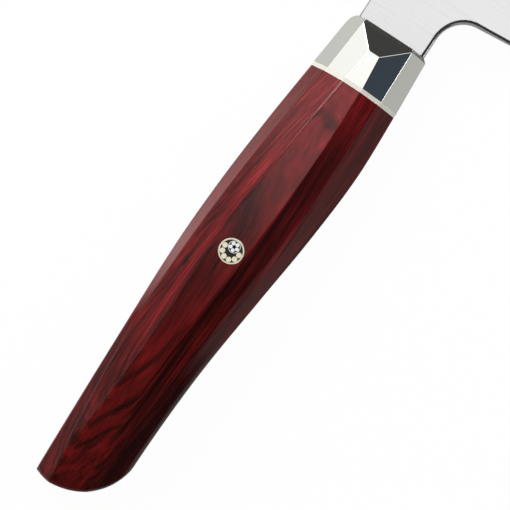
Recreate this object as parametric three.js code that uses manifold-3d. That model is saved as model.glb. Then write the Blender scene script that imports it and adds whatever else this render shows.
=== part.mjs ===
// Gyuto knife: a blade with a hidden tang, a polished faceted bolster, a pale spacer, a faceted handle
// of laminated wood and a mosaic pin. Millimetres, +Z up: the knife lies on its left side.
// The layout below has x = 0 at the bolster's front face, +X to the tip, +Y to the spine and z = 0 in
// the blade's middle plane. The last section moves it so that the origin is under the knife's middle.
import * as THREE from "three";
import { ConvexGeometry } from "three/addons/geometries/ConvexGeometry.js";
import { mergeVertices } from "three/addons/utils/BufferGeometryUtils.js";
import Module from "manifold-3d";

const wasm = await Module();
wasm.setup();
const { lerp, smoothstep } = THREE.MathUtils;

// Driving dimensions
const fitGap = 0.06; // between pieces that are glued or pressed together

const blade = {
  tip: { x: 225, y: -13 },
  heelHeight: 46, // spine to edge at the heel
  heelLean: 1.9, // the heel runs forward this much on its way down
  spineY: 8.5,
  straightSpine: 95, // where the spine starts to drop
  spinePulls: [[150, 7.2], [200, -1]], // control points of the drop
  straightEdge: 75, // where the edge starts to rise
  edgePulls: [[140, -37.5], [198, -31.5]], // control points of the rise
  neckY: -9.5, // underside of the neck
  neckLength: 5.1,
  choilWidth: 7.4, // quarter ellipse between the neck and the heel
  choilHeight: 7,
  spineHalf: 1.0, // half thicknesses
  tipHalf: 0.5,
  neckHalf: 0.95,
  heelTopHalf: 0.78,
  edgeHalf: 0.18,
  bevel: 1.2, // height of the ground edge
  choilEase: 1.25, // depth of the rounding on the neck, choil and heel
  spineEase: 0.35,
};

const tang = {
  half: 0.9, // half thickness
  inNeck: 1.5, // overlap with the neck, where tang and blade are one piece
  topAtNeck: 6.6,
  bottomAtNeck: -6.0,
  neckEnd: -16, // where the tang starts to taper
  topAtPin: 8.2,
  bottomAtPin: -1.2,
  end: { x: -87, y: 4.4, radius: 3 },
};

const seam = {
  spine: 11.58,
  upperRidge: 8.15,
  upperFlat: 3.3,
  lowerFlat: -1.4,
  lowerRidge: -6.6,
  belly: -11.1,
};
const seamHalf = 8.4; // half thickness of handle and bolster where they meet
const ridgeShare = 0.64; // height of the outer ridges there, as a share of seamHalf
const crestHalf = 0.2; // half width of the narrow flats along spine and belly there
const spacerThickness = 0.9;

const bolster = {
  length: 14.42,
  apex: { x: -6.4, z: 8.3, upper: 2.08, lower: -0.71 }, // short edge where the front slope starts
  brow: { x: -0.95, z: 4.66, upper: 6.95, lower: -6.37, belly: -10.4 }, // foot of the front slope
  face: { z: 3.4, upper: 6.45, lower: -5.95, belly: -9.4 }, // front face, inside the rim's chamfer
  shoulder: { start: -3.5, top: 10.35, pull: [-0.9, 10.2], bottom: 8.75 }, // rounded corner over the spine
};

// Lines of the wooden handle, front to butt: the six ridges' heights at each station
const stations = [-15.45, -32, -50, -68, -88, -108, -131];
const lines = {
  spine: [seam.spine, 13.35, 14.78, 15.4, 14.9, 14.45, 13.85],
  upperRidge: [seam.upperRidge, 10.5, 12.2, 13.25, 13.3, 12.0, 9.75],
  upperFlat: [seam.upperFlat, 5.45, 7.3, 8.4, 8.7, 9.25, 9.75],
  lowerFlat: [seam.lowerFlat, -1.5, -0.75, 0.6, 2.9, 3.0, 1.4],
  lowerRidge: [seam.lowerRidge, -7.0, -6.8, -5.5, -2.1, 0.35, 1.4],
  belly: [seam.belly, -11.5, -10.2, -8.1, -5.82, -4.73, -4.5],
};
const wood = {
  half: 10, // half thickness over the flat stretch behind the pin
  flatFrom: -71,
  flatTo: -78,
  buttHalf: 9.1,
  hexagonFrom: -45, // from here the outer ridges rise, until they meet the middle facet at the butt
  crestFrom: { spine: -64, belly: -62 }, // from here the flats along spine and belly get broad
  crestFull: { spine: -88, belly: -88 },
  rearSlope: 0.8, // of the facets beside the broad flats
  end: -128.45,
  buttCorner: { top: 13.95, depth: 1.8, height: 3.8 },
  buttSweep: { top: 10, pulls: [[-128.3, 4.4], [-124.5, -4.3]], bottomX: -114.5, bottom: -4.7 },
  pocketMargin: 0.9, // room for glue round the tang
  pocketHalf: 1.5,
};

const pin = {
  x: -61.7,
  y: 3.58,
  half: 9.93, // half length, level with the wood
  radius: 3,
  bore: 2.65,
  turn: -4, // degrees from +X to the inner tube
  innerRadius: 1.45,
  innerBore: 1.3,
  brassRods: 6,
  brassRadius: 0.63,
  brassGap: 0.08,
  silverRods: 5,
  silverRadius: 0.45,
  silverTurn: 43,
  seat: 0.03, // play between a rod and the tube that holds it
};

// Solids
const mergeDistance = 1e-4;
const flatPoint = ([x, y]) => new THREE.Vector2(x, y);

function solid(geometry) {
  const bare = new THREE.BufferGeometry();
  bare.setAttribute("position", geometry.getAttribute("position"));
  bare.setIndex(geometry.index);
  const merged = mergeVertices(bare, mergeDistance);
  const corners = Array.from(merged.index.array);
  const triangles = [];
  for (let i = 0; i < corners.length; i += 3) {
    const [a, b, c] = corners.slice(i, i + 3);
    if (a !== b && b !== c && c !== a) triangles.push(a, b, c);
  }
  const vertProperties = merged.getAttribute("position").array;
  const triVerts = new Uint32Array(triangles);
  return new wasm.Manifold(new wasm.Mesh({ numProp: 3, vertProperties, triVerts }));
}

function geometryOf(body) {
  const { vertProperties, triVerts } = body.getMesh();
  const shared = new THREE.BufferGeometry();
  shared.setAttribute("position", new THREE.BufferAttribute(vertProperties, 3));
  shared.setIndex(new THREE.BufferAttribute(triVerts, 1));
  const flat = shared.toNonIndexed();
  flat.computeVertexNormals();
  return flat;
}

// Skin through rings of points that follow each other along +X, with both ends closed
function loft(rings) {
  const count = rings[0].length;
  const last = (rings.length - 1) * count;
  const index = [];
  for (let ring = 0; ring < last; ring += count) {
    for (let i = 0; i < count; i++) {
      const here = ring + i;
      const next = ring + ((i + 1) % count);
      index.push(here, next, next + count, here, next + count, here + count);
    }
  }
  for (let i = 1; i < count - 1; i++) index.push(0, i + 1, i, last, last + i, last + i + 1);
  const skin = new THREE.BufferGeometry().setFromPoints(rings.flat());
  skin.setIndex(index);
  return solid(skin);
}

// A flat outline made thick to both sides of z = 0
function plate(shape, half) {
  const plateSteps = 12;
  const settings = { depth: 2 * half, bevelEnabled: false, curveSegments: plateSteps };
  return solid(new THREE.ExtrudeGeometry(shape, settings).translate(0, 0, -half));
}

// A round rod along Z that reaches half to both sides of z = 0
function rod(x, y, radius, half, sides) {
  const geometry = new THREE.CylinderGeometry(radius, radius, 2 * half, sides);
  return solid(geometry.rotateX(Math.PI / 2).translate(x, y, 0));
}

// Blade
// The outline is walked from the bolster to the tip along the spine and along the underside. Each
// stop gives a point, the step into the blade where the full thickness starts, half of that, and how
// the surface gets there.
function walk(curve, steps, side, depth, half, rise) {
  const stops = [];
  for (let i = 0; i <= steps; i++) {
    const t = i / steps;
    const tangent = curve.getTangent(t);
    const into = new THREE.Vector2(-tangent.y, tangent.x).multiplyScalar(side * depth(t));
    stops.push({ at: curve.getPoint(t), into, half: half(t), rise });
  }
  return stops;
}

// Points on the way up from an edge, as shares of the depth and of the half thickness
const risePoints = [Math.PI / 6, Math.PI / 3];
const roundRise = risePoints.map((angle) => [1 - Math.cos(angle), Math.sin(angle)]);
const straightRise = [1 / 3, 2 / 3].map((share) => [share, share]);
const fadeOut = (t) => 1 - t ** 8; // brings thickness and bevel to nothing at the tip
const tip = new THREE.Vector2(blade.tip.x, blade.tip.y);
const edgeY = blade.spineY - blade.heelHeight;
const heelTop = new THREE.Vector2(blade.neckLength + blade.choilWidth, blade.neckY - blade.choilHeight);
const heel = new THREE.Vector2(heelTop.x + blade.heelLean, edgeY);
const spineDip = 0.5; // the spine falls a little on its straight stretch
const spineAt = (x) => new THREE.Vector2(x, blade.spineY - (spineDip * x) / blade.straightSpine);

function undersideStops() {
  const neck = new THREE.LineCurve(
    new THREE.Vector2(fitGap, blade.neckY),
    new THREE.Vector2(blade.neckLength, blade.neckY),
  );
  const choil = new THREE.EllipseCurve(
    blade.neckLength, heelTop.y, blade.choilWidth, blade.choilHeight, Math.PI / 2, 0, true,
  );
  const heelLine = new THREE.LineCurve(heelTop, heel);
  const edgeEnd = new THREE.Vector2(blade.straightEdge, edgeY);
  const edge = new THREE.LineCurve(heel, edgeEnd);
  const belly = new THREE.CubicBezierCurve(edgeEnd, ...blade.edgePulls.map(flatPoint), tip);
  const eased = () => blade.choilEase;
  const ground = () => blade.bevel;
  const alongNeck = walk(neck, 1, 1, eased, () => blade.neckHalf, roundRise);
  const alongChoil = walk(choil, 10, 1, eased, (t) => lerp(blade.neckHalf, blade.heelTopHalf, t), roundRise);
  const downHeel = walk(heelLine, 4, 1, eased, (t) => lerp(blade.heelTopHalf, blade.edgeHalf, t), roundRise);
  const alongEdge = walk(edge, 4, 1, ground, () => blade.edgeHalf, straightRise);
  const alongBelly = walk(
    belly, 24, 1, (t) => blade.bevel * fadeOut(t), (t) => blade.edgeHalf * fadeOut(t), straightRise,
  );
  alongEdge[0].into.add(downHeel.at(-1).into); // the heel's corner is mitred
  return [
    ...alongNeck, ...alongChoil.slice(1), ...downHeel.slice(1, -1), ...alongEdge, ...alongBelly.slice(1),
  ];
}

function spineStops() {
  const overHeel = 22; // spine point that faces the heel's corner
  const stretch = (from, to) => new THREE.LineCurve(spineAt(from), spineAt(to));
  const pulls = blade.spinePulls.map(flatPoint);
  const drop = new THREE.CubicBezierCurve(spineAt(blade.straightSpine), ...pulls, tip);
  const eased = () => blade.spineEase;
  const full = () => blade.spineHalf;
  const dropHalf = (t) => lerp(blade.spineHalf, blade.tipHalf, t) * fadeOut(t);
  return [
    ...walk(stretch(fitGap, blade.neckLength), 1, -1, eased, full, roundRise),
    ...walk(stretch(blade.neckLength, overHeel), 14, -1, eased, full, roundRise).slice(1),
    ...walk(stretch(overHeel, blade.straightSpine), 4, -1, eased, full, roundRise).slice(1),
    ...walk(drop, 24, -1, (t) => blade.spineEase * fadeOut(t), dropHalf, roundRise).slice(1),
  ];
}

function bladeRing(top, bottom) {
  const on = (stop, inwards, height) => {
    const flat = stop.at.clone().addScaledVector(stop.into, inwards);
    return new THREE.Vector3(flat.x, flat.y, stop.half * height);
  };
  const right = [
    ...top.rise.map((share) => on(top, ...share)), on(top, 1, 1),
    on(bottom, 1, 1), ...bottom.rise.map((share) => on(bottom, ...share)).reverse(),
  ];
  const left = right.map((p) => new THREE.Vector3(p.x, p.y, -p.z)).reverse();
  return [on(top, 0, 0), ...right, on(bottom, 0, 0), ...left];
}

function tangOutline(front, grow) {
  const { x, y, radius } = tang.end;
  const shape = new THREE.Shape();
  shape.moveTo(front, tang.topAtNeck + grow);
  shape.lineTo(tang.neckEnd, tang.topAtNeck + grow);
  shape.lineTo(pin.x, tang.topAtPin + grow);
  shape.absarc(x, y, radius + grow, Math.PI / 2, (3 * Math.PI) / 2, false);
  shape.lineTo(pin.x, tang.bottomAtPin - grow);
  shape.lineTo(tang.neckEnd, tang.bottomAtNeck - grow);
  shape.lineTo(front, tang.bottomAtNeck - grow);
  return shape;
}

const pinSides = 40;
const pinHole = (gap) => rod(pin.x, pin.y, pin.radius + gap, wood.half + 1, pinSides);
const tangHoleGap = 0.1;

function makeBlade() {
  const top = spineStops();
  const bottom = undersideStops();
  const body = loft(top.map((stop, i) => bladeRing(stop, bottom[i])));
  const tail = plate(tangOutline(tang.inNeck, 0), tang.half).subtract(pinHole(tangHoleGap));
  return body.add(tail);
}

// Bolster and spacer
// Ring of twelve corners from the heights of the lines and their half thicknesses
function section(x, heights, halves) {
  const right = [
    [heights.spine, halves.spine], [heights.upperRidge, halves.ridge], [heights.upperFlat, halves.flat],
    [heights.lowerFlat, halves.flat], [heights.lowerRidge, halves.ridge], [heights.belly, halves.belly],
  ].map(([y, z]) => new THREE.Vector3(x, y, z));
  const left = right.map((p) => new THREE.Vector3(p.x, p.y, -p.z)).reverse();
  return [...right, ...left];
}

const seamHalves = { spine: crestHalf, ridge: seamHalf * ridgeShare, flat: seamHalf, belly: crestHalf };

const slot = plate(tangOutline(tang.inNeck, 2 * fitGap), tang.half + 2 * fitGap);

function makeBolster() {
  const { apex, brow, face, shoulder } = bolster;
  const round = new THREE.QuadraticBezierCurve(
    new THREE.Vector2(shoulder.start, shoulder.top),
    flatPoint(shoulder.pull),
    new THREE.Vector2(0, shoulder.bottom),
  );
  const shoulderSteps = 10;
  const onMiddle = [
    ...round.getPoints(shoulderSteps),
    new THREE.Vector2(brow.x, brow.belly),
    new THREE.Vector2(0, face.belly),
  ].map((p) => [p.x, p.y, crestHalf]);
  const onSides = [
    [apex.x, apex.upper, apex.z], [apex.x, apex.lower, apex.z],
    [brow.x, brow.upper, brow.z], [brow.x, brow.lower, brow.z],
    [0, face.upper, face.z], [0, face.lower, face.z],
  ];
  const front = [...onMiddle, ...onSides].flatMap(([x, y, z]) => [
    new THREE.Vector3(x, y, z), new THREE.Vector3(x, y, -z),
  ]);
  const rear = section(-bolster.length, seam, seamHalves);
  return solid(new ConvexGeometry([...rear, ...front])).subtract(slot);
}

function makeSpacer() {
  const front = -bolster.length - fitGap;
  const ends = [front - spacerThickness, front];
  return loft(ends.map((x) => section(x, seam, seamHalves))).subtract(slot);
}

// Handle
// Half thickness of the middle facet: full over the flat stretch, less towards both ends
function woodHalf(x) {
  const front = stations[0];
  if (x > wood.flatFrom) {
    return lerp(wood.half, seamHalf, ((x - wood.flatFrom) / (front - wood.flatFrom)) ** 2);
  }
  if (x > wood.flatTo) return wood.half;
  return lerp(wood.half, wood.buttHalf, ((wood.flatTo - x) / (wood.flatTo - wood.end)) ** 1.5);
}

function woodHalves(x, heights) {
  const { rearSlope, crestFrom, crestFull } = wood;
  const flat = woodHalf(x);
  const ridge = flat * lerp(ridgeShare, 1, smoothstep(-x, -wood.hexagonFrom, -wood.end));
  const broadSpine = ridge - rearSlope * (heights.spine - heights.upperRidge);
  const broadBelly = ridge - rearSlope * (heights.lowerRidge - heights.belly);
  const spine = lerp(crestHalf, broadSpine, smoothstep(-x, -crestFrom.spine, -crestFull.spine));
  const belly = lerp(crestHalf, broadBelly, smoothstep(-x, -crestFrom.belly, -crestFull.belly));
  return { spine, ridge, flat, belly };
}

function buttProfile() {
  const { top, depth, height } = wood.buttCorner;
  const sweep = wood.buttSweep;
  const clear = 40; // beyond the wood on every other side
  const shape = new THREE.Shape();
  shape.moveTo(clear, clear);
  shape.lineTo(wood.end + depth, clear);
  shape.lineTo(wood.end + depth, top);
  shape.quadraticCurveTo(wood.end, top, wood.end, top - height);
  shape.lineTo(wood.end, sweep.top);
  shape.bezierCurveTo(...sweep.pulls.flat(), sweep.bottomX, sweep.bottom);
  shape.lineTo(sweep.bottomX, -clear);
  shape.lineTo(clear, -clear);
  return shape;
}

function makeHandle() {
  const ringCount = 37;
  const curves = {};
  for (const [name, heights] of Object.entries(lines)) {
    curves[name] = new THREE.SplineCurve(heights.map((y, i) => new THREE.Vector2(stations[i], y)));
  }
  const rings = [];
  for (let i = 0; i < ringCount; i++) {
    const heights = {};
    let x = 0;
    for (const [name, curve] of Object.entries(curves)) {
      const point = curve.getPoint(i / (ringCount - 1));
      heights[name] = point.y;
      x = point.x;
    }
    rings.unshift(section(x, heights, woodHalves(x, heights)));
  }
  const pocket = plate(tangOutline(0, wood.pocketMargin), wood.pocketHalf);
  const reach = 20;
  return loft(rings)
    .intersect(plate(buttProfile(), reach))
    .subtract(pocket)
    .subtract(pinHole(fitGap));
}

function makeEpoxy() {
  const outer = plate(tangOutline(stations[0], wood.pocketMargin - fitGap), wood.pocketHalf - fitGap);
  const inner = plate(tangOutline(0, fitGap), tang.half + fitGap);
  return outer.subtract(inner).subtract(pinHole(fitGap));
}

// Mosaic pin
const rodSides = 16;
const resinGap = 0.02;
const tubeSides = 40;
const turn = THREE.MathUtils.degToRad(pin.turn);
const innerOffset = pin.bore - pin.seat - pin.innerRadius;
const inner = { x: pin.x + innerOffset * Math.cos(turn), y: pin.y + innerOffset * Math.sin(turn) };

function ring(x, y, radius, bore) {
  return rod(x, y, radius, pin.half, tubeSides).subtract(rod(x, y, bore, wood.half, tubeSides));
}

// The brass rods stand side by side against the outer tube, centred opposite the inner tube
const brassReach = pin.bore - pin.seat - pin.brassRadius;
const brassStep = 2 * Math.asin((pin.brassRadius + pin.brassGap / 2) / brassReach);
const brassPlaces = Array.from({ length: pin.brassRods }, (_, i) => {
  const angle = turn + Math.PI + (i - (pin.brassRods - 1) / 2) * brassStep;
  return { x: pin.x + brassReach * Math.cos(angle), y: pin.y + brassReach * Math.sin(angle) };
});

// The white rods form a ring inside the inner tube
const silverReach = pin.innerBore - pin.seat - pin.silverRadius;
const silverPlaces = Array.from({ length: pin.silverRods }, (_, i) => {
  const angle = THREE.MathUtils.degToRad(pin.silverTurn) + (i * 2 * Math.PI) / pin.silverRods;
  return { x: inner.x + silverReach * Math.cos(angle), y: inner.y + silverReach * Math.sin(angle) };
});

// Resin fills a tube's bore round the rods that stand in it
function resin(x, y, bore, places, radius) {
  let fill = rod(x, y, bore - pin.seat - resinGap, pin.half, tubeSides);
  for (const { x: rodX, y: rodY } of places) {
    fill = fill.subtract(rod(rodX, rodY, radius + resinGap, wood.half, rodSides));
  }
  return fill;
}

function makePinResin() {
  const round = rod(inner.x, inner.y, pin.innerRadius + resinGap, wood.half, tubeSides);
  return resin(pin.x, pin.y, pin.bore, brassPlaces, pin.brassRadius).subtract(round);
}

// Assembly
const steel = new THREE.MeshStandardMaterial({ color: 0xe4e5e6, roughness: 0.28, metalness: 1 });
const nickelSilver = new THREE.MeshStandardMaterial({ color: 0xdcdcd6, roughness: 0.08, metalness: 1 });
const creamFibre = new THREE.MeshStandardMaterial({ color: 0xe6e0cc, roughness: 0.5, metalness: 0 });
const redLaminate = new THREE.MeshStandardMaterial({ color: 0x7a1f22, roughness: 0.25, metalness: 0 });
const glue = new THREE.MeshStandardMaterial({ color: 0x9a8f72, roughness: 0.5, metalness: 0 });
const brass = new THREE.MeshStandardMaterial({ color: 0xe3d29a, roughness: 0.2, metalness: 1 });
const blackResin = new THREE.MeshStandardMaterial({ color: 0x14110f, roughness: 0.3, metalness: 0 });

const layout = new THREE.Group();
function place(name, body, material) {
  const mesh = new THREE.Mesh(geometryOf(body), material);
  mesh.name = name;
  layout.add(mesh);
}

place("blade", makeBlade(), steel);
place("bolster", makeBolster(), nickelSilver);
place("spacer", makeSpacer(), creamFibre);
place("handle", makeHandle(), redLaminate);
place("tang_epoxy", makeEpoxy(), glue);
place("pin_tube", ring(pin.x, pin.y, pin.radius, pin.bore), brass);
place("pin_inner_tube", ring(inner.x, inner.y, pin.innerRadius, pin.innerBore), nickelSilver);
brassPlaces.forEach(({ x, y }, i) => {
  place(`pin_brass_rod_${i + 1}`, rod(x, y, pin.brassRadius, pin.half, rodSides), brass);
});
silverPlaces.forEach(({ x, y }, i) => {
  place(`pin_silver_rod_${i + 1}`, rod(x, y, pin.silverRadius, pin.half, rodSides), nickelSilver);
});
place("pin_resin", makePinResin(), blackResin);
place("pin_inner_resin", resin(inner.x, inner.y, pin.innerBore, silverPlaces, pin.silverRadius), blackResin);

const box = new THREE.Box3().setFromObject(layout);
const middle = box.getCenter(new THREE.Vector3());
layout.position.set(-middle.x, -middle.y, -box.min.z);
const knife = new THREE.Group();
knife.add(layout);

export default knife;
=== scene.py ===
import math

import bmesh
import bpy
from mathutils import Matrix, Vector


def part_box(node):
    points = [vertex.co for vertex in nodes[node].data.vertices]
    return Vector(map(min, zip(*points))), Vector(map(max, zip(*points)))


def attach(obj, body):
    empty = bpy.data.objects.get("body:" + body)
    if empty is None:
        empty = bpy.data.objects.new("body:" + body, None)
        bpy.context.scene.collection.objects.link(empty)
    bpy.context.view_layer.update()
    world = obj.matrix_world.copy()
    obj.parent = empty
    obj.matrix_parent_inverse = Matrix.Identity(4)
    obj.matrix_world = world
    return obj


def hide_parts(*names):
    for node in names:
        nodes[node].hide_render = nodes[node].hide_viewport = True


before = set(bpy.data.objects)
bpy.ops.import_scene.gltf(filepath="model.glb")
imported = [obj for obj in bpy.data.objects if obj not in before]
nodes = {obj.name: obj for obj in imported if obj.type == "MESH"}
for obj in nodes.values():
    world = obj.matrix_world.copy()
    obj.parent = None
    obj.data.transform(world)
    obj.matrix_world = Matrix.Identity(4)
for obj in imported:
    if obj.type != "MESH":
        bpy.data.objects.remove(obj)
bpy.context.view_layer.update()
mm = 0.001

# All lengths below are in mm in the knife's own layout: x = 0 at the bolster's front face, +x to the tip,
# +y to the spine, z = 0 in the blade's middle plane. layoutStart is where that zero lies in the frame.
pinSpot = Vector((-61.7, 3.58, 0))
pinLow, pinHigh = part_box("pin_tube")
layoutStart = (pinLow + pinHigh) / 2 - pinSpot * mm
print("frame loaded, layout starts at", [round(c / mm, 3) for c in layoutStart])


def toFrame(x, y, z):
    return layoutStart + Vector((x, y, z)) * mm


def lerp(a, b, t):
    return a + (b - a) * t


def smooth(value, low, high):
    t = min(max((value - low) / (high - low), 0), 1)
    return t * t * (3 - 2 * t)


# sRGB hex text to the linear colour that the sockets take
def colour(hexText):
    parts = [int(hexText[i:i + 2], 16) / 255 for i in (1, 3, 5)]
    return tuple(p / 12.92 if p <= 0.04045 else ((p + 0.055) / 1.055) ** 2.4 for p in parts) + (1,)


# Adds a node; an input that is given a socket is linked to it
def addNode(tree, kind, inputs=None, **settings):
    node = tree.nodes.new(kind)
    for name, value in settings.items():
        setattr(node, name, value)
    for key, value in (inputs or {}).items():
        if isinstance(value, bpy.types.NodeSocket):
            tree.links.new(value, node.inputs[key])
        else:
            node.inputs[key].default_value = value
    return node


# A new material with its surface node, and Object coordinates turned into layout millimetres
def startMaterial(name):
    material = bpy.data.materials.new(name)
    material.use_nodes = True
    tree = material.node_tree
    surface = next(n for n in tree.nodes if n.type == "BSDF_PRINCIPLED")
    place = addNode(tree, "ShaderNodeTexCoord")
    inMm = addNode(tree, "ShaderNodeMapping", {
        "Vector": place.outputs["Object"],
        "Scale": (1 / mm, 1 / mm, 1 / mm),
        "Location": -layoutStart / mm,
    })
    return material, tree, surface, inMm.outputs["Vector"]


# Dyed veneers soaked in resin, pressed and polished: stripes where a facet cuts across the layers, broad
# patches where it runs along them, fine fibres along the knife, and a clear gloss over all of it
laminate = {
    "tones": [(0.0, "#1a0201"), (0.25, "#3a0504"), (0.5, "#620a0b"), (0.75, "#83181c"), (1.0, "#9e2930")],
    # The stack of veneers leans to one side, rises towards the butt and waves a little
    "lean": {"along": (-95, -25), "slope": (0.12, 0.03)},
    "bend": {"along": (-75, -129), "rise": 1.9},
    "wave": {"size": (26, 9, 9), "height": 0.4},
    # Borders of the middle facet, which is cut along the veneers
    "upperBorder": {"along": (-80, -15.5), "start": 8.7, "fall": 5.4},
    "lowerBorder": {"along": (-88, -45), "height": (2.9, -1.3)},
    "borderSoft": (-0.5, 0.6),
    # The tone is redder towards the front and darker below the middle facet
    "middle": {"along": (-100, -25), "tone": (0.36, 0.56)},
    "low": {"tone": 0.25, "soft": (-0.5, 0.7)},
    # Broad changes of tone: the border they are measured from, where across the handle they start, are full,
    # fade and end, the same four places along it, and how much is added
    "zones": [
        ("under", (2.2, 3.6, 20, 21), (-140, -135, -98, -82), -0.18),  # belly at the butt
        ("under", (4.6, 5.6, 20, 21), (-95, -75, 0, 1), 0.14),  # belly in front of it
        ("under", (0, 0.8, 4.6, 5.6), (-34, -17, 0, 1), 0.24),  # lower facet at the bolster
        ("over", (0, 0.5, 1.2, 2.4), (-84, -70, -45, -30), 0.18),  # red streak on the upper border
        ("over", (1.8, 3.2, 20, 21), (-120, -110, -90, -75), 0.08),  # spine side near the butt
        ("over", (0.3, 1, 20, 21), (-95, -85, -68, -58), 0.12),  # spine side behind the pin
        ("over", (1.8, 3, 4.4, 5), (-64, -54, -36, -24), -0.12),  # dark band below the spine facet
        ("over", (4.6, 5.2, 20, 21), (-84, -70, -52, -36), 0.14),  # spine facet over the pin
        ("beside", (-30, -29, -0.5, 0.5), (-98, -90, -78, -70), 0.1),  # middle facet behind the pin
        ("under", (0, 0.8, 20, 21), (-92, -85, -70, -58), -0.06),  # belly side behind the pin
    ],
    # Figure, from broad to fine: length, width and height in mm, detail, strength
    "figure": [((80, 30, 1.1), 1, 0.55), ((30, 2.6, 0.22), 2, 1.15), ((10, 0.33, 0.22), 2, 0.5)],
    "calm": 0.6,  # strength of the figure on the middle facet
    # Single veneers on the middle facet: height in the stack, half thickness, start, end, how much darker
    "veneers": [
        (8.90, 0.07, -70, 0, 0.2),
        (10.2, 0.24, -66, -30, 0.26),
        (10.6, 0.2, -92, -52, 0.16),
        (9.21, 0.05, -150, -72, 0.18),
        (9.69, 0.06, -150, -72, 0.18),
        (10.3, 0.06, -150, -78, 0.2),
        (10.8, 0.08, -110, -60, 0.16),
    ],
    "veneerSoft": (0.3, 1.7),  # shares of the half thickness
    "veneerFade": 12,
    "knot": {"at": (-69, 11.1, 8.4), "size": (1.5, 0.5, 0.6), "soft": (0.3, 1.2), "darker": 0.3},
    "roughness": 0.2, "glossChange": 0.2, "specular": 0.42,
    "belly": {"roughness": 0.72, "across": (4.6, 5.6), "along": (-92, -76)},  # buffed less in front
    "ripple": {"strength": 0.05, "depth": 0.05},
}


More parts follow.
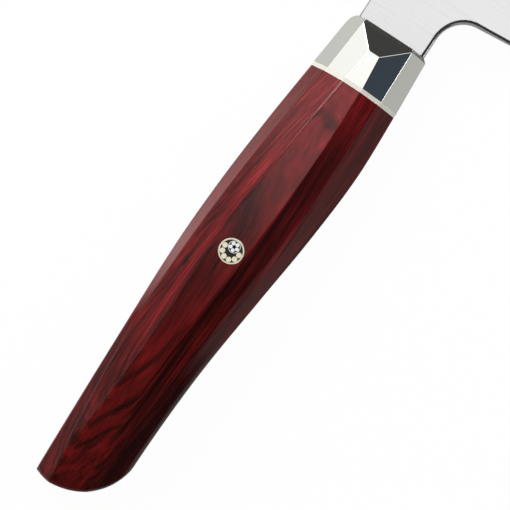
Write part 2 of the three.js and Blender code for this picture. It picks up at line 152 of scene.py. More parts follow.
def makeLaminate():
    material, tree, surface, place = startMaterial("polishedRedLaminate")
    sums, ranges, soft = "ShaderNodeMath", "ShaderNodeMapRange", "SMOOTHSTEP"
    x, y, z = addNode(tree, "ShaderNodeSeparateXYZ", {"Vector": place}).outputs

    # Height within the stack of veneers
    start, end = laminate["lean"]["along"]
    atButt, atFront = laminate["lean"]["slope"]
    slope = addNode(tree, ranges, {
        "Value": x, "From Min": start, "From Max": end, "To Min": atButt, "To Max": atFront,
    }, interpolation_type=soft).outputs["Result"]
    leaning = addNode(tree, sums, {0: y, 1: slope, 2: z}, operation="MULTIPLY_ADD").outputs[0]
    start, end = laminate["bend"]["along"]
    behind = addNode(tree, ranges, {"Value": x, "From Min": start, "From Max": end}).outputs["Result"]
    squared = addNode(tree, sums, {0: behind, 1: 2}, operation="POWER").outputs[0]
    bent = addNode(tree, sums, {
        0: squared, 1: -laminate["bend"]["rise"], 2: leaning,
    }, operation="MULTIPLY_ADD").outputs[0]
    waveScale = [1 / size for size in laminate["wave"]["size"]]
    slow = addNode(tree, "ShaderNodeMapping", {"Vector": place, "Scale": waveScale}).outputs["Vector"]
    wave = addNode(tree, "ShaderNodeTexNoise", {"Vector": slow, "Scale": 1, "Detail": 2}).outputs["Fac"]
    even = addNode(tree, sums, {0: wave, 1: 0.5}, operation="SUBTRACT").outputs[0]
    height = addNode(tree, sums, {
        0: even, 1: laminate["wave"]["height"], 2: bent,
    }, operation="MULTIPLY_ADD").outputs[0]
    layered = addNode(tree, "ShaderNodeCombineXYZ", {"X": x, "Y": y, "Z": height}).outputs["Vector"]

    # How far a point is above, below and outside the middle facet
    start, end = laminate["upperBorder"]["along"]
    ahead = addNode(tree, ranges, {"Value": x, "From Min": start, "From Max": end}).outputs["Result"]
    falling = addNode(tree, sums, {0: ahead, 1: 2}, operation="POWER").outputs[0]
    upperBorder = addNode(tree, sums, {
        0: falling, 1: -laminate["upperBorder"]["fall"], 2: laminate["upperBorder"]["start"],
    }, operation="MULTIPLY_ADD").outputs[0]
    over = addNode(tree, sums, {0: y, 1: upperBorder}, operation="SUBTRACT").outputs[0]
    start, end = laminate["lowerBorder"]["along"]
    atButt, atFront = laminate["lowerBorder"]["height"]
    lowerBorder = addNode(tree, ranges, {
        "Value": x, "From Min": start, "From Max": end, "To Min": atButt, "To Max": atFront,
    }).outputs["Result"]
    under = addNode(tree, sums, {0: lowerBorder, 1: y}, operation="SUBTRACT").outputs[0]
    beside = addNode(tree, sums, {0: over, 1: under}, operation="MAXIMUM").outputs[0]
    inner, outer = laminate["borderSoft"]
    offFacet = addNode(tree, ranges, {
        "Value": beside, "From Min": inner, "From Max": outer,
    }, interpolation_type=soft).outputs["Result"]
    onFacet = addNode(tree, sums, {0: 1, 1: offFacet}, operation="SUBTRACT").outputs[0]

    # Main tone
    start, end = laminate["middle"]["along"]
    atButt, atFront = laminate["middle"]["tone"]
    middle = addNode(tree, ranges, {
        "Value": x, "From Min": start, "From Max": end, "To Min": atButt, "To Max": atFront,
    }, interpolation_type=soft).outputs["Result"]
    inner, outer = laminate["low"]["soft"]
    shade = addNode(tree, ranges, {
        "Value": under, "From Min": inner, "From Max": outer,
        "To Min": middle, "To Max": laminate["low"]["tone"],
    }, interpolation_type=soft).outputs["Result"]

    # Broad changes of tone
    borders = {"over": over, "under": under, "beside": beside}
    for border, across, along, gain in laminate["zones"]:
        zone = None
        for coordinate, marks in ((borders[border], across), (x, along)):
            for start, end, first, last in ((*marks[:2], 0, 1), (*marks[2:], 1, 0)):
                edge = addNode(tree, ranges, {
                    "Value": coordinate, "From Min": start, "From Max": end, "To Min": first, "To Max": last,
                }, interpolation_type=soft).outputs["Result"]
                if zone is not None:
                    edge = addNode(tree, sums, {0: zone, 1: edge}, operation="MULTIPLY").outputs[0]
                zone = edge
        shade = addNode(tree, sums, {0: zone, 1: gain, 2: shade}, operation="MULTIPLY_ADD").outputs[0]

    # Tone of each veneer, the streaks in it and its fibres
    contrast = addNode(tree, ranges, {
        "Value": offFacet, "To Min": laminate["calm"], "To Max": 1,
    }).outputs["Result"]
    for size, detail, strength in laminate["figure"]:
        scale = [1 / mmSize for mmSize in size]
        scaled = addNode(tree, "ShaderNodeMapping", {"Vector": layered, "Scale": scale}).outputs["Vector"]
        figure = addNode(tree, "ShaderNodeTexNoise", {
            "Vector": scaled, "Scale": 1, "Detail": detail, "Roughness": 0.6,
        }).outputs["Fac"]
        even = addNode(tree, sums, {0: figure, 1: 0.5}, operation="SUBTRACT").outputs[0]
        weight = addNode(tree, sums, {0: contrast, 1: strength}, operation="MULTIPLY").outputs[0]
        shade = addNode(tree, sums, {0: even, 1: weight, 2: shade}, operation="MULTIPLY_ADD").outputs[0]

    # Single veneers that stand out on the middle facet
    for level, half, start, end, darker in laminate["veneers"]:
        away = addNode(tree, sums, {0: height, 1: level}, operation="SUBTRACT").outputs[0]
        distance = addNode(tree, sums, {0: away}, operation="ABSOLUTE").outputs[0]
        inner, outer = [half * share for share in laminate["veneerSoft"]]
        cut = addNode(tree, ranges, {
            "Value": distance, "From Min": inner, "From Max": outer, "To Min": darker, "To Max": 0,
        }, interpolation_type=soft).outputs["Result"]
        fadeLength = laminate["veneerFade"]
        for begin, first, last in ((start, 0, 1), (end - fadeLength, 1, 0)):
            fade = addNode(tree, ranges, {
                "Value": x, "From Min": begin, "From Max": begin + fadeLength,
                "To Min": first, "To Max": last,
            }, interpolation_type=soft).outputs["Result"]
            cut = addNode(tree, sums, {0: cut, 1: fade}, operation="MULTIPLY").outputs[0]
        kept = addNode(tree, sums, {0: cut, 1: onFacet}, operation="MULTIPLY").outputs[0]
        shade = addNode(tree, sums, {0: shade, 1: kept}, operation="SUBTRACT").outputs[0]

    # One small knot above the pin
    knot = laminate["knot"]
    vectors = "ShaderNodeVectorMath"
    toKnot = addNode(tree, vectors, {0: place, 1: knot["at"]}, operation="SUBTRACT").outputs[0]
    spread = addNode(tree, vectors, {0: toKnot, 1: knot["size"]}, operation="DIVIDE").outputs[0]
    reach = addNode(tree, vectors, {0: spread}, operation="LENGTH").outputs["Value"]
    inner, outer = knot["soft"]
    dark = addNode(tree, ranges, {
        "Value": reach, "From Min": inner, "From Max": outer, "To Min": knot["darker"], "To Max": 0,
    }, interpolation_type=soft).outputs["Result"]
    shade = addNode(tree, sums, {0: shade, 1: dark}, operation="SUBTRACT").outputs[0]

    ramp = addNode(tree, "ShaderNodeValToRGB", {"Fac": shade})
    stops = ramp.color_ramp.elements
    stops[0].color = colour(laminate["tones"][0][1])
    stops[1].color = colour(laminate["tones"][-1][1])
    for position, tone in laminate["tones"][1:-1]:
        stops.new(position).color = colour(tone)
    tree.links.new(ramp.outputs["Color"], surface.inputs["Base Color"])

    # Gloss: the fibres change it a little, and the front of the belly is duller
    surface.inputs["Specular IOR Level"].default_value = laminate["specular"]
    belly = laminate["belly"]
    bellyRoughness = addNode(tree, ranges, {
        "Value": x, "From Min": belly["along"][0], "From Max": belly["along"][1],
        "To Min": laminate["roughness"], "To Max": belly["roughness"],
    }).outputs["Result"]
    buffed = addNode(tree, ranges, {
        "Value": under, "From Min": belly["across"][0], "From Max": belly["across"][1],
        "To Min": laminate["roughness"], "To Max": bellyRoughness,
    }, interpolation_type=soft).outputs["Result"]
    gloss = addNode(tree, sums, {
        0: even, 1: laminate["glossChange"], 2: buffed,
    }, operation="MULTIPLY_ADD").outputs[0]
    tree.links.new(gloss, surface.inputs["Roughness"])
    ripple = addNode(tree, "ShaderNodeBump", {
        "Strength": laminate["ripple"]["strength"],
        "Distance": laminate["ripple"]["depth"] * mm,
        "Height": figure,
    })
    tree.links.new(ripple.outputs["Normal"], surface.inputs["Normal"])
    return material


# Stainless blade steel, belt ground and left satin: pale grey with fine lines from spine to edge, which are
# drawn coarser than the real grit so that they show
steel = {
    "colour": "#d2d2d2", "roughness": (0.12, 0.23), "contrast": (0.3, 0.7),
    "lineWidth": 0.25, "lineLength": 30, "lineDepth": 0.02, "lineStrength": 0.05,
}


def makeSteel():
    material, tree, surface, place = startMaterial("satinBladeSteel")
    surface.inputs["Base Color"].default_value = colour(steel["colour"])
    surface.inputs["Metallic"].default_value = 1
    lines = addNode(tree, "ShaderNodeMapping", {
        "Vector": place, "Scale": (1 / steel["lineWidth"], 1 / steel["lineLength"], 1 / steel["lineLength"]),
    }).outputs["Vector"]
    scratch = addNode(tree, "ShaderNodeTexNoise", {
        "Vector": lines, "Scale": 1, "Detail": 3, "Roughness": 0.7,
    }).outputs["Fac"]
    gloss = addNode(tree, "ShaderNodeMapRange", {
        "Value": scratch, "From Min": steel["contrast"][0], "From Max": steel["contrast"][1],
        "To Min": steel["roughness"][0], "To Max": steel["roughness"][1],
    })
    tree.links.new(gloss.outputs["Result"], surface.inputs["Roughness"])
    grind = addNode(tree, "ShaderNodeBump", {
        "Strength": steel["lineStrength"], "Distance": steel["lineDepth"] * mm, "Height": scratch,
    })
    tree.links.new(grind.outputs["Normal"], surface.inputs["Normal"])
    return material


# Nickel silver, polished to a mirror: each flat facet reflects one patch of the room
nickelSilver = {"name": "mirrorNickelSilver", "colour": "#e3e3de", "metallic": 1, "roughness": (0.05, 0.12)}
# Brass, sanded flush with the wood: warm and pale with no mirror, because the scratches scatter the light
sandedBrass = {"name": "sandedBrass", "colour": "#fbf2d6", "metallic": 0.55, "roughness": (0.43, 0.5)}
# Nickel silver, sanded in the same way: nearly white with no mirror
sandedSilver = {"name": "sandedNickelSilver", "colour": "#f8f8f6", "metallic": 0.35, "roughness": (0.4, 0.47)}
# Hairlines from polishing and sanding, drawn coarser than the real ones so that they show
hairline = {"width": 0.12, "length": 6, "contrast": (0.35, 0.75)}


def makeHairlineMetal(finish):
    material, tree, surface, place = startMaterial(finish["name"])
    surface.inputs["Base Color"].default_value = colour(finish["colour"])
    surface.inputs["Metallic"].default_value = finish["metallic"]
    polish = addNode(tree, "ShaderNodeMapping", {
        "Vector": place, "Scale": (1 / hairline["length"], 1 / hairline["width"], 1 / hairline["width"]),
    }).outputs["Vector"]
    hairs = addNode(tree, "ShaderNodeTexNoise", {
        "Vector": polish, "Scale": 1, "Detail": 2, "Roughness": 0.6,
    }).outputs["Fac"]
    gloss = addNode(tree, "ShaderNodeMapRange", {
        "Value": hairs, "From Min": hairline["contrast"][0], "From Max": hairline["contrast"][1],
        "To Min": finish["roughness"][0], "To Max": finish["roughness"][1],
    })
    tree.links.new(gloss.outputs["Result"], surface.inputs["Roughness"])
    return material


# Vulcanised fibre sheet, cut and buffed: a matt cream line with faint specks
fibre = {
    "name": "creamFibre", "tones": ((0.3, "#d8d6c6"), (0.6, "#e6e5d8")),
    "speck": 0.3, "detail": 3, "roughness": 0.5,
}
# Cast epoxy: amber, cloudy with fine bubbles
epoxy = {
    "name": "castEpoxy", "tones": ((0, "#9a8f72"), (1, "#b3a98c")),
    "speck": 0.8, "detail": 2, "roughness": 0.4,
}
# Black filled epoxy, sanded flush with the rods: nearly black with a dull gloss
resin = {
    "name": "blackResin", "tones": ((0, "#0d0a09"), (1, "#1e1a17")),
    "speck": 0.2, "detail": 2, "roughness": 0.35,
}


def makeMottled(finish):
    material, tree, surface, place = startMaterial(finish["name"])
    specks = addNode(tree, "ShaderNodeTexNoise", {
        "Vector": place, "Scale": 1 / finish["speck"], "Detail": finish["detail"],
    })
    ramp = addNode(tree, "ShaderNodeValToRGB", {"Fac": specks.outputs["Fac"]})
    for stop, (position, tone) in zip(ramp.color_ramp.elements, finish["tones"]):
        stop.position = position
        stop.color = colour(tone)
    tree.links.new(ramp.outputs["Color"], surface.inputs["Base Color"])
    surface.inputs["Roughness"].default_value = finish["roughness"]
    return material


redLaminate = makeLaminate()
bladeSteel = makeSteel()
bolsterNickel = makeHairlineMetal(nickelSilver)
creamFibre = makeMottled(fibre)
castEpoxy = makeMottled(epoxy)
blackResin = makeMottled(resin)
pinBrass = makeHairlineMetal(sandedBrass)
pinSilver = makeHairlineMetal(sandedSilver)
print("materials made")


def addObject(name, data):
    thing = bpy.data.objects.new(name, data)
    bpy.context.scene.collection.objects.link(thing)
    return thing


# Puts a finished mesh into the scene as a piece that stands for CAD nodes
def addPiece(name, mesh, material, replaced):
    mesh.name = name
    piece = addObject(name, mesh)
    mesh.materials.clear()
    mesh.materials.append(material)
    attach(piece, "root")
    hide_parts(*replaced)
    return piece


# A copy of a CAD node's mesh with its loose triangles joined, and its flat faces too where an angle is given
def joinedCopy(nodeName, flatAngle=None):
    shape = bmesh.new()
    shape.from_mesh(nodes[nodeName].data)
    bmesh.ops.remove_doubles(shape, verts=shape.verts, dist=1e-6)
    if flatAngle is not None:
        bmesh.ops.dissolve_limit(shape, angle_limit=flatAngle, verts=shape.verts, edges=shape.edges)
    mesh = bpy.data.meshes.new(nodeName)
    shape.to_mesh(mesh)
    shape.free()
    return mesh


# A mesh from a closed bmesh, with its doubles joined and its faces pointing outwards
def closedMesh(shape, name, joinDistance):
    bmesh.ops.remove_doubles(shape, verts=shape.verts, dist=joinDistance)
    bmesh.ops.recalc_face_normals(shape, faces=shape.faces)
    mesh = bpy.data.meshes.new(name)
    shape.to_mesh(mesh)
    shape.free()
    return mesh


# Evaluates an object with its modifiers and gives back a plain mesh; the object goes
def plainMesh(holder):
    graph = bpy.context.evaluated_depsgraph_get()
    mesh = bpy.data.meshes.new_from_object(holder.evaluated_get(graph))
    holder.modifiers.clear()
    bpy.data.objects.remove(holder)
    return mesh


# Normals that keep the broad faces flat
def keepFlat(piece):
    flats = piece.modifiers.new("flatFaces", "WEIGHTED_NORMAL")
    flats.mode = "FACE_AREA"
    flats.weight = 100
    flats.keep_sharp = True


# Smooth faces with creases
def smoothPiece(piece, creaseAngle):
    shape = bmesh.new()
    shape.from_mesh(piece.data)
    for face in shape.faces:
        face.smooth = True
    for edge in shape.edges:
        edge.smooth = edge.calc_face_angle(0) < creaseAngle
    shape.to_mesh(piece.data)
    shape.free()
    keepFlat(piece)


# Rounded edges that catch a thin line of light; the face at the seam stays sharp
def easeEdges(piece, width, steps, fromAngle, seamX):
    shape = bmesh.new()
    shape.from_mesh(piece.data)
    weight = shape.edges.layers.float.new("bevel_weight_edge")
    for edge in shape.edges:
        onSeam = all(v.co.x < seamX for v in edge.verts)
        edge.smooth = not onSeam
        if len(edge.link_faces) == 2 and edge.calc_face_angle() > fromAngle and not onSeam:
            edge[weight] = 1
    for face in shape.faces:
        face.smooth = True
    shape.to_mesh(piece.data)
    shape.free()
    ease = piece.modifiers.new("easedEdges", "BEVEL")
    ease.width = width
    ease.segments = steps
    ease.limit_method = "WEIGHT"
    keepFlat(piece)


# Handle: the CAD lines again, with many rings and with every ridge rounded
handle = {
    "stations": [-15.45, -32, -50, -68, -88, -108, -131],
    "spine": [11.58, 13.35, 14.78, 15.4, 14.9, 14.45, 13.85],
    "upperRidge": [8.15, 10.5, 12.2, 13.25, 13.3, 12.0, 9.75],
    "upperFlat": [3.3, 5.45, 7.3, 8.4, 8.7, 9.25, 9.75],
    "lowerFlat": [-1.4, -1.5, -0.75, 0.6, 2.9, 3.0, 1.4],
    "lowerRidge": [-6.6, -7.0, -6.8, -5.5, -2.1, 0.35, 1.4],
    "belly": [-11.1, -11.5, -10.2, -8.1, -5.82, -4.73, -4.5],
    "half": 10, "seamHalf": 8.4, "buttHalf": 9.1,  # half thicknesses
    "flatFrom": -71, "flatTo": -78, "seamBend": 2, "buttBend": 1.5,  # powers of the curves beside the flat
    "ridgeShare": 0.64, "crestHalf": 0.2, "rearSlope": 0.8,
    "hexagonFrom": -45, "spineFrom": -64, "spineFull": -88, "bellyFrom": -62, "bellyFull": -88,
    "heart": (5, 0),  # a point (y, z) inside every ring
    "end": -128.45,
    "buttCorner": (13.95, 1.8, 3.8),  # top, depth and height of the small round
    "buttSweep": [(-128.45, 10), (-128.3, 4.4), (-124.5, -4.3), (-114.5, -4.7)],
    "ridgeEase": [0.6, 0.4, 0.75, 0.3, 0.3, 1.3],  # reach of the rounding on each ridge, spine to belly
    "mostEase": 0.45,  # the largest share of a facet that a rounding takes
    "buttEase": 0.9,
    "crease": 50,  # degrees
    # Steps over each rounded ridge, facet, butt edge, butt corner and butt sweep, and along the handle
    "easeSteps": 4, "facetSteps": 10, "buttSteps": 6, "cornerSteps": 12, "sweepSteps": 40, "rows": 120,
    "samples": 480, "settling": 4,  # rings to measure from, and rounds until a line's end lies on the butt
}


# Point of a smooth curve through evenly counted values, t from 0 to 1
def curveAt(values, t):
    last = len(values) - 1
    at = min(int(t * last), last - 1)
    s = t * last - at
    before = values[max(at - 1, 0)]
    here = values[at]
    there = values[at + 1]
    after = values[min(at + 2, last)]
    leaving = (there - before) / 2
    arriving = (after - here) / 2
    cubic = 2 * here - 2 * there + leaving + arriving
    square = -3 * here + 3 * there - 2 * leaving - arriving
    return ((cubic * s + square) * s + leaving) * s + here


def handleHalf(x):
    front, flatFrom, flatTo = handle["stations"][0], handle["flatFrom"], handle["flatTo"]
    if x > flatFrom:
        share = (x - flatFrom) / (front - flatFrom)
        return lerp(handle["half"], handle["seamHalf"], share ** handle["seamBend"])
    if x > flatTo:
        return handle["half"]
    share = (flatTo - x) / (flatTo - handle["end"])
    return lerp(handle["half"], handle["buttHalf"], share ** handle["buttBend"])


# The handle's outline at t: rounded ring of (y, z), right side from spine to belly, then the left back up
def handleRing(t):
    x = curveAt(handle["stations"], t)
    names = ("spine", "upperRidge", "upperFlat", "lowerFlat", "lowerRidge", "belly")
    heights = [curveAt(handle[name], t) for name in names]
    flat = handleHalf(x)
    ridge = flat * lerp(handle["ridgeShare"], 1, smooth(-x, -handle["hexagonFrom"], -handle["end"]))
    broadSpine = ridge - handle["rearSlope"] * (heights[0] - heights[1])
    broadBelly = ridge - handle["rearSlope"] * (heights[4] - heights[5])
    spine = lerp(handle["crestHalf"], broadSpine, smooth(-x, -handle["spineFrom"], -handle["spineFull"]))
    belly = lerp(handle["crestHalf"], broadBelly, smooth(-x, -handle["bellyFrom"], -handle["bellyFull"]))
    right = [Vector(p) for p in zip(heights, (spine, ridge, flat, flat, ridge, belly))]
    corners = right + [Vector((p.x, -p.y)) for p in reversed(right)]
    reaches = handle["ridgeEase"] + handle["ridgeEase"][::-1]
    rounded = []
    for i, corner in enumerate(corners):
        back = corners[i - 1] - corner
        ahead = corners[(i + 1) % len(corners)] - corner
        reach = min(reaches[i], handle["mostEase"] * back.length, handle["mostEase"] * ahead.length)
        start = corner + back.normalized() * reach
        stop = corner + ahead.normalized() * reach
        rounded.append([
            start.lerp(corner, s).lerp(corner.lerp(stop, s), s)
            for s in (step / handle["easeSteps"] for step in range(handle["easeSteps"] + 1))
        ])
    ring = []
    between = [step / handle["facetSteps"] for step in range(1, handle["facetSteps"])]
    for i, arc in enumerate(rounded):
        before = rounded[i - 1][-1]
        ring += ([before.lerp(arc[0], s) for s in between] if i else []) + arc
    ring += [rounded[-1][-1].lerp(rounded[0][0], s) for s in between]
    return x, ring


# The butt seen from the side: a small round at the top, then a long sweep into the belly
def buttOutline():
    end, corner, depth, height = handle["end"], *handle["buttCorner"]
    top, side, foot = Vector((end + depth, corner)), Vector((end, corner)), Vector((end, corner - height))
    points = []
    for i in range(handle["cornerSteps"] + 1):
        s = i / handle["cornerSteps"]
        points.append(top.lerp(side, s).lerp(side.lerp(foot, s), s))
    a, b, c, d = [Vector(p) for p in handle["buttSweep"]]
    for i in range(handle["sweepSteps"] + 1):
        s = i / handle["sweepSteps"]
        points.append(a * (1 - s) ** 3 + b * 3 * s * (1 - s) ** 2 + c * 3 * s * s * (1 - s) + d * s ** 3)
    return points


# Where the butt is at a height y, and the way along it towards the spine
def buttAt(outline, y):
    for upper, lower in zip(outline, outline[1:]):
        if upper.y >= y >= lower.y:
            s = (upper.y - y) / max(upper.y - lower.y, 1e-9)
            return lerp(upper.x, lower.x, s), (upper - lower).normalized()
    if y > outline[0].y:
        return outline[0].x, Vector((0, 1))
    return outline[-1].x, (outline[-2] - outline[-1]).normalized()


def makeHandle():
    outline = buttOutline()
    sampleCount = handle["samples"]
    samples = [handleRing(i / sampleCount) for i in range(sampleCount + 1)]
    count = len(samples[0][1])

    # Each line along the handle is followed from the spacer to the butt
    def lineAt(line, x):
        low, high = 0, sampleCount
        while high - low > 1:
            middle = (low + high) // 2
            if samples[middle][0] > x:
                low = middle
            else:
                high = middle
        (xa, ringA), (xb, ringB) = samples[low], samples[high]
        flat = ringA[line].lerp(ringB[line], (x - xa) / (xb - xa))
        return Vector((x, flat.x, flat.y))

    columns = []
    front, ease, rows = handle["stations"][0], handle["buttEase"], handle["rows"]
    for line in range(count):
        endX = next(x for x, ring in samples if x <= buttAt(outline, ring[line].x)[0] or x <= handle["end"])
        for _ in range(handle["settling"]):
            endX = buttAt(outline, lineAt(line, endX).y)[0]
        corner = lineAt(line, endX)
        way = buttAt(outline, corner.y)[1]
        ring = samples[min(range(sampleCount + 1), key=lambda i: abs(samples[i][0] - endX))][1]
        along = ring[(line + 1) % count] - ring[line - 1]
        outward = Vector((along.y, -along.x)).normalized()
        if outward.dot(ring[line] - Vector(handle["heart"])) < 0:
            outward = -outward
        inward = Vector((-outward.x * way.x, -outward.x * way.y, -outward.y)).normalized()
        start = lineAt(line, endX + ease)
        column = [lineAt(line, lerp(front, endX + ease, row / rows)) for row in range(rows + 1)]
        for step in range(1, handle["buttSteps"] + 1):
            angle = math.pi / 2 * step / handle["buttSteps"]
            back = (start - corner) * (1 - math.sin(angle))
            column.append(corner + back + inward * ease * (1 - math.cos(angle)))
        columns.append(column)

    shape = bmesh.new()
    grid = [[shape.verts.new(toFrame(*p)) for p in column] for column in columns]
    rowCount = len(grid[0])
    for line in range(count):
        beside = grid[(line + 1) % count]
        for row in range(rowCount - 1):
            shape.faces.new((grid[line][row], beside[row], beside[row + 1], grid[line][row + 1]))
    # Both ends are closed by strips across; the first and last take in the lines along spine and belly
    crestLines = handle["facetSteps"] - 1
    sideLines = count // 2 - crestLines
    left = count - crestLines - 1
    for row in (0, rowCount - 1):
        for line in range(sideLines - 1):
            strip = [line, line + 1, left - line - 1, left - line]
            if line == 0:
                strip += range(left + 1, count)
            if line == sideLines - 2:
                strip[2:2] = range(sideLines, sideLines + crestLines)
            shape.faces.new([grid[i][row] for i in strip])
    return closedMesh(shape, "handleBlank", 2e-6)


# A turned part: a closed outline of (radius, z) swept round the z axis at a spot of the layout
def turned(name, outline, spot, steps):
    shape = bmesh.new()
    rings = []
    for step in range(steps):
        angle = 2 * math.pi * step / steps
        across, up = math.cos(angle), math.sin(angle)
        rings.append([shape.verts.new(toFrame(spot.x + r * across, spot.y + r * up, z)) for r, z in outline])
    for step in range(steps):
        beside = rings[(step + 1) % steps]
        for i in range(len(outline)):
            j = (i + 1) % len(outline)
            shape.faces.new((rings[step][i], beside[i], beside[j], rings[step][j]))
    return closedMesh(shape, name, 1e-7)


# Mosaic pin: a brass tube with brass rods on one side and a small tube of white rods on the other
pin = {
    "half": 9.93, "radius": 3.0, "bore": 2.65, "turn": -4, "innerRadius": 1.45, "innerBore": 1.3,
    "brassRods": 6, "brassRadius": 0.63, "brassGap": 0.08,
    "silverRods": 5, "silverRadius": 0.45, "silverTurn": 43,
    "seat": 0.03, "fitGap": 0.06, "resinGap": 0.01,
    "drillHalf": 14,  # reaches past both sides of the wood
    "rim": 0.05,  # rounding of the tubes' ends
    "resinDip": 0.04,  # the resin polishes away a little faster than the metal
    "sides": 64, "rodSides": 32,
}


def rodOutline(radius, half):
    return [(0, -half), (radius, -half), (radius, half), (0, half)]


def tubeOutline(radius, bore):
    half, rim = pin["half"], pin["rim"]
    return [
        (bore, -half), (radius - rim, -half), (radius, -half + rim),
        (radius, half - rim), (radius - rim, half), (bore, half),
    ]


# One tree for both sets of rods: points on an arc, a rod on each
def rodTree():
    tree = bpy.data.node_groups.new("rodsOnAnArc", "GeometryNodeTree")
    for name, kind in (
        ("Rods", "NodeSocketInt"), ("Rod Radius", "NodeSocketFloat"), ("Rod Length", "NodeSocketFloat"),
        ("Arc Radius", "NodeSocketFloat"), ("First Angle", "NodeSocketFloat"),
        ("Step Angle", "NodeSocketFloat"), ("Middle", "NodeSocketVector"), ("Metal", "NodeSocketMaterial"),
    ):
        tree.interface.new_socket(name, in_out="INPUT", socket_type=kind)
    tree.interface.new_socket("Geometry", in_out="OUTPUT", socket_type="NodeSocketGeometry")
    given = addNode(tree, "NodeGroupInput").outputs
    number = addNode(tree, "GeometryNodeInputIndex")
    angle = addNode(tree, "ShaderNodeMath", {
        0: number.outputs[0], 1: given["Step Angle"], 2: given["First Angle"],
    }, operation="MULTIPLY_ADD")
    across = addNode(tree, "ShaderNodeMath", {0: angle.outputs[0]}, operation="COSINE")
    up = addNode(tree, "ShaderNodeMath", {0: angle.outputs[0]}, operation="SINE")
    around = addNode(tree, "ShaderNodeCombineXYZ", {"X": across.outputs[0], "Y": up.outputs[0]})
    spot = addNode(tree, "ShaderNodeVectorMath", {
        0: around.outputs[0], "Scale": given["Arc Radius"],
    }, operation="SCALE")
    moved = addNode(tree, "ShaderNodeVectorMath", {0: spot.outputs[0], 1: given["Middle"]}, operation="ADD")
    points = addNode(tree, "GeometryNodePoints", {"Count": given["Rods"], "Position": moved.outputs[0]})
    rod = addNode(tree, "GeometryNodeMeshCylinder", {
        "Vertices": pin["rodSides"], "Radius": given["Rod Radius"], "Depth": given["Rod Length"],
    })
    placed = addNode(tree, "GeometryNodeInstanceOnPoints", {
        "Points": points.outputs[0], "Instance": rod.outputs["Mesh"],
    })
    real = addNode(tree, "GeometryNodeRealizeInstances", {"Geometry": placed.outputs[0]})
    dressed = addNode(tree, "GeometryNodeSetMaterial", {
        "Geometry": real.outputs[0], "Material": given["Metal"],
    })
    addNode(tree, "NodeGroupOutput", {0: dressed.outputs[0]})
    return tree


def makeRods(tree, values):
    holder = addObject("rodHolder", bpy.data.meshes.new("rodHolder"))
    rods = holder.modifiers.new("rods", "NODES")
    rods.node_group = tree
    for item in tree.interface.items_tree:
        if item.in_out == "INPUT":
            rods[item.identifier] = values[item.name]
    return plainMesh(holder)


# The handle gets its bore before it becomes a piece
blank = addObject("handleBlank", makeHandle())
boreOutline = rodOutline(pin["radius"] + pin["fitGap"], pin["drillHalf"])
drill = addObject("drill", turned("drill", boreOutline, pinSpot, pin["sides"]))
bore = blank.modifiers.new("bore", "BOOLEAN")
bore.operation = "DIFFERENCE"
bore.solver = "EXACT"
bore.object = drill
handleMesh = plainMesh(blank)
bpy.data.objects.remove(drill)
woodHandle = addPiece("woodHandle", handleMesh, redLaminate, ["handle"])
smoothPiece(woodHandle, math.radians(handle["crease"]))
print("handle:", len(handleMesh.polygons), "faces")

# Bolster: the CAD form with its edges eased; angles in degrees
bolster = {"flatAngle": 1, "ease": 0.18, "easeSteps": 3, "easeFrom": 9, "seamBand": 0.01}
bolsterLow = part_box("bolster")[0]
bolsterMesh = joinedCopy("bolster", math.radians(bolster["flatAngle"]))
bolsterPiece = addPiece("mirrorBolster", bolsterMesh, bolsterNickel, ["bolster"])
seamX = bolsterLow.x + bolster["seamBand"] * mm
easeEdges(bolsterPiece, bolster["ease"] * mm, bolster["easeSteps"], math.radians(bolster["easeFrom"]), seamX)

# Spacer: glued up without a gap, so its two faces reach the bolster and the wood
spacerMesh = joinedCopy("spacer", math.radians(bolster["flatAngle"]))
spacerLow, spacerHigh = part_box("spacer")
for vertex in spacerMesh.vertices:
    atFront = vertex.co.x > (spacerLow.x + spacerHigh.x) / 2
    vertex.co.x = bolsterLow.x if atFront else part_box("handle")[1].x
addPiece("creamSpacer", spacerMesh, creamFibre, ["spacer"])

# Blade: the CAD form, smooth over its curves
blade = {"crease": 35}  # degrees
bladePiece = addPiece("groundBlade", joinedCopy("blade"), bladeSteel, ["blade"])
smoothPiece(bladePiece, math.radians(blade["crease"]))
print("bolster, spacer and blade made")

# Mosaic pin
turnAngle = math.radians(pin["turn"])
innerReach = pin["bore"] - pin["seat"] - pin["innerRadius"]
innerSpot = pinSpot + Vector((math.cos(turnAngle), math.sin(turnAngle), 0)) * innerReach
brassReach = pin["bore"] - pin["seat"] - pin["brassRadius"]
brassStep = 2 * math.asin((pin["brassRadius"] + pin["brassGap"] / 2) / brassReach)
silverReach = pin["innerBore"] - pin["seat"] - pin["silverRadius"]
rodsOnAnArc = rodTree()
brassMesh = makeRods(rodsOnAnArc, {
    "Rods": pin["brassRods"], "Rod Radius": pin["brassRadius"] * mm, "Rod Length": 2 * pin["half"] * mm,
    "Arc Radius": brassReach * mm, "Middle": toFrame(*pinSpot), "Metal": pinBrass,
    "First Angle": turnAngle + math.pi - (pin["brassRods"] - 1) / 2 * brassStep, "Step Angle": brassStep,
})
brassNodes = [f"pin_brass_rod_{i + 1}" for i in range(pin["brassRods"])]
addPiece("brassRods", brassMesh, pinBrass, brassNodes)
silverMesh = makeRods(rodsOnAnArc, {
    "Rods": pin["silverRods"], "Rod Radius": pin["silverRadius"] * mm, "Rod Length": 2 * pin["half"] * mm,
    "Arc Radius": silverReach * mm, "Middle": toFrame(*innerSpot), "Metal": pinSilver,
    "First Angle": math.radians(pin["silverTurn"]), "Step Angle": 2 * math.pi / pin["silverRods"],
})
silverNodes = [f"pin_silver_rod_{i + 1}" for i in range(pin["silverRods"])]
addPiece("silverRods", silverMesh, pinSilver, silverNodes)
outerTube = tubeOutline(pin["radius"], pin["bore"])
innerTube = tubeOutline(pin["innerRadius"], pin["innerBore"])
resinHalf = pin["half"] - pin["resinDip"]
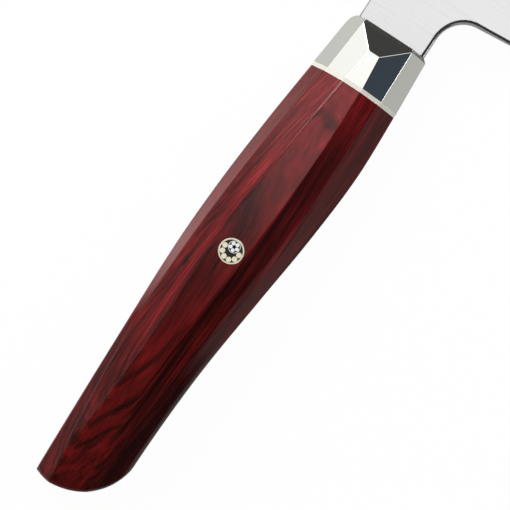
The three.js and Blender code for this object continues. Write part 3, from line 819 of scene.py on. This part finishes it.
outerFill = rodOutline(pin["bore"] - pin["resinGap"], resinHalf)
innerFill = rodOutline(pin["innerBore"] - pin["resinGap"], resinHalf)
for name, outline, spot, material, slot, node in (
    ("brassTube", outerTube, pinSpot, pinBrass, "pin_brass", "pin_tube"),
    ("innerTube", innerTube, innerSpot, pinSilver, "pin_silver", "pin_inner_tube"),
    ("outerResin", outerFill, pinSpot, blackResin, "pin_resin", "pin_resin"),
    ("innerResin", innerFill, innerSpot, blackResin, "pin_resin", "pin_inner_resin"),
):
    addPiece(name, turned(name, outline, spot, pin["sides"]), material, [node])
nodes["tang_epoxy"].data.materials.clear()
nodes["tang_epoxy"].data.materials.append(castEpoxy)
print("mosaic pin made")

# Floor: white paper that keeps a faint shadow
# The polished facets see it brighter on the spine side: a painted reflection of the light from that side,
# given to glossy rays only
floorSheet = {
    "size": 14000, "top": -0.02, "paper": "#c2c2c0", "roughness": 0.9,
    "white": 1.02, "lift": 0.95,  # brightness of the white, and its share to the camera
    "bellyLift": 0.02, "spineLift": 0.28, "gradeHalf": 20,  # its painted share in metal on both sides of the knife
}
half = floorSheet["size"] / 2 * mm
floorCorners = [(x * half, y * half, floorSheet["top"] * mm) for x, y in ((-1, -1), (1, -1), (1, 1), (-1, 1))]
floorMesh = bpy.data.meshes.new("floor")
floorMesh.from_pydata(floorCorners, [], [(0, 1, 2, 3)])
floor = addObject("floor", floorMesh)
paper, tree, surface, place = startMaterial("whitePaper")
surface.inputs["Base Color"].default_value = colour(floorSheet["paper"])
surface.inputs["Roughness"].default_value = floorSheet["roughness"]
surface.inputs["Specular IOR Level"].default_value = 0
rays = addNode(tree, "ShaderNodeLightPath")
mirrored = addNode(tree, "ShaderNodeMath", {
    0: rays.outputs["Is Glossy Ray"], 1: rays.outputs["Is Transmission Ray"],
}, operation="MAXIMUM")
seen = addNode(tree, "ShaderNodeMath", {
    0: rays.outputs["Is Camera Ray"], 1: floorSheet["lift"],
}, operation="MULTIPLY")
across = addNode(tree, "ShaderNodeSeparateXYZ", {"Vector": place})
# Painted reflection: in metal the floor glows white, more on the spine side where the light comes from
paintedReflection = addNode(tree, "ShaderNodeMapRange", {
    "Value": across.outputs["Y"], "From Min": -floorSheet["gradeHalf"], "From Max": floorSheet["gradeHalf"],
    "To Min": floorSheet["bellyLift"], "To Max": floorSheet["spineLift"],
})
share = addNode(tree, "ShaderNodeMath", {
    0: mirrored.outputs[0], 1: paintedReflection.outputs["Result"], 2: seen.outputs[0],
}, operation="MULTIPLY_ADD")
white = addNode(tree, "ShaderNodeEmission", {"Color": (1, 1, 1, 1), "Strength": floorSheet["white"]})
mixed = addNode(tree, "ShaderNodeMixShader", {
    0: share.outputs[0], 1: surface.outputs["BSDF"], 2: white.outputs["Emission"],
})
output = next(n for n in tree.nodes if n.type == "OUTPUT_MATERIAL")
tree.links.new(mixed.outputs["Shader"], output.inputs["Surface"])
floorMesh.materials.append(paper)

# Light: an even room that metal sees as dim, and softboxes over the blade and on the spine side
# Brightness of the room to the camera, to matt surfaces and in metal
room = {"seen": 1.0, "ambient": 0.4, "mirrored": 0.035}
world = bpy.data.worlds.new("dimRoom")
world.use_nodes = True
tree = world.node_tree
back = next(n for n in tree.nodes if n.type == "BACKGROUND")
rays = addNode(tree, "ShaderNodeLightPath")
mirrored = addNode(tree, "ShaderNodeMath", {
    0: rays.outputs["Is Glossy Ray"], 1: rays.outputs["Is Transmission Ray"],
}, operation="MAXIMUM")
level = addNode(tree, "ShaderNodeMapRange", {
    "Value": mirrored.outputs[0], "To Min": room["ambient"], "To Max": room["mirrored"],
})
shown = addNode(tree, "ShaderNodeMapRange", {
    "Value": rays.outputs["Is Camera Ray"], "To Min": level.outputs["Result"], "To Max": room["seen"],
})
tree.links.new(shown.outputs["Result"], back.inputs["Strength"])
back.inputs["Color"].default_value = (1, 1, 1, 1)
bpy.context.scene.world = world
bpy.context.scene.view_settings.view_transform = "Standard"

# Each softbox: heading from the spine side towards the tip and height above the floor, both in degrees,
# distance in m, width and height in m, radiance, and a tint where it isn't white
softboxes = {
    "key": {"heading": 42, "rise": 40, "distance": 0.65, "size": (0.24, 0.24), "radiance": 10},
    "spineCard": {"heading": 40.5, "rise": 19, "distance": 1.5, "size": (1.62, 0.68), "radiance": 0.84},
    "spineWall": {"heading": 0, "rise": 37, "distance": 1.6, "size": (2.6, 1.9), "radiance": 0.33},
    "ridgeStrip": {"heading": 25, "rise": 47, "distance": 1.2, "size": (0.12, 0.4), "radiance": 3},
    "rearStrip": {"heading": -9, "rise": 18.5, "distance": 1.5, "size": (0.34, 0.11), "radiance": 3},
    "flatStrip": {"heading": -19, "rise": 70, "distance": 1.2, "size": (0.12, 0.06), "radiance": 3},
    "tipStrip": {"heading": 105, "rise": 34, "distance": 1.2, "size": (0.95, 0.22), "radiance": 1.0},
    "bellyStrip": {"heading": 166, "rise": 5, "distance": 1.5, "size": (0.3, 0.13), "radiance": 5},
    "bellyWall": {"heading": 164, "rise": 14, "distance": 1.6, "size": (0.8, 0.28), "radiance": 0.22},
    "frontCard": {"heading": 90, "rise": 15, "distance": 1.5, "size": (0.34, 0.2), "radiance": 0.025},
    "tipWall": {"heading": 132, "rise": 11, "distance": 1.5, "size": (1.0, 0.4), "radiance": 0.4},
    "buttWall": {"heading": 242, "rise": 26, "distance": 1.6, "size": (2.1, 1.0), "radiance": 0.4},
    "blueWindow": {
        "heading": 180, "rise": 27, "distance": 1.5, "size": (1.6, 0.5), "radiance": 0.05, "tint": "#93c8ff",
    },
}
handleMiddle = toFrame(-59.5, -1.4, 0)


def addLamp(name, spot, size, radiance, target, tint="#ffffff"):
    lamp = bpy.data.lights.new(name, "AREA")
    lamp.color = colour(tint)[:3]
    lamp.shape = "RECTANGLE"
    lamp.size, lamp.size_y = size
    lamp.energy = radiance * math.pi * size[0] * size[1]
    holder = addObject(name, lamp)
    holder.location = spot
    holder.rotation_euler = (target - spot).to_track_quat("-Z", "Y").to_euler()
    holder.visible_camera = False


for name, box in softboxes.items():
    heading, rise = math.radians(box["heading"]), math.radians(box["rise"])
    aim = Vector((math.sin(heading) * math.cos(rise), math.cos(heading) * math.cos(rise), math.sin(rise)))
    spot = handleMiddle + aim * box["distance"]
    addLamp(name, spot, box["size"], box["radiance"], handleMiddle, box.get("tint", "#ffffff"))

# One large softbox hangs level over the blade; its corners are in m from the middle of the handle
overhead = {"from": (0.067, -0.45), "to": (1.2, 0.4), "height": 1.2, "radiance": 1.25}
nearX, nearY = overhead["from"]
farX, farY = overhead["to"]
spot = handleMiddle + Vector(((nearX + farX) / 2, (nearY + farY) / 2, overhead["height"]))
addLamp("overBlade", spot, (farX - nearX, farY - nearY), overhead["radiance"], spot - Vector((0, 0, 1)))
print("floor and light made")

# Camera: straight down on the handle, turned so that the knife points up and to the right
view = {"middle": (-59.5, -1.435), "distance": 500, "turn": -57, "lens": 152.5, "sensor": 36, "nearest": 10}
cameraData = bpy.data.cameras.new("camera")
cameraData.lens = view["lens"]
cameraData.sensor_width = view["sensor"]
cameraData.clip_start = view["nearest"] * mm
camera = addObject("camera", cameraData)
camera.location = toFrame(*view["middle"], view["distance"])
camera.rotation_euler = (0, 0, math.radians(view["turn"]))
bpy.context.scene.camera = camera
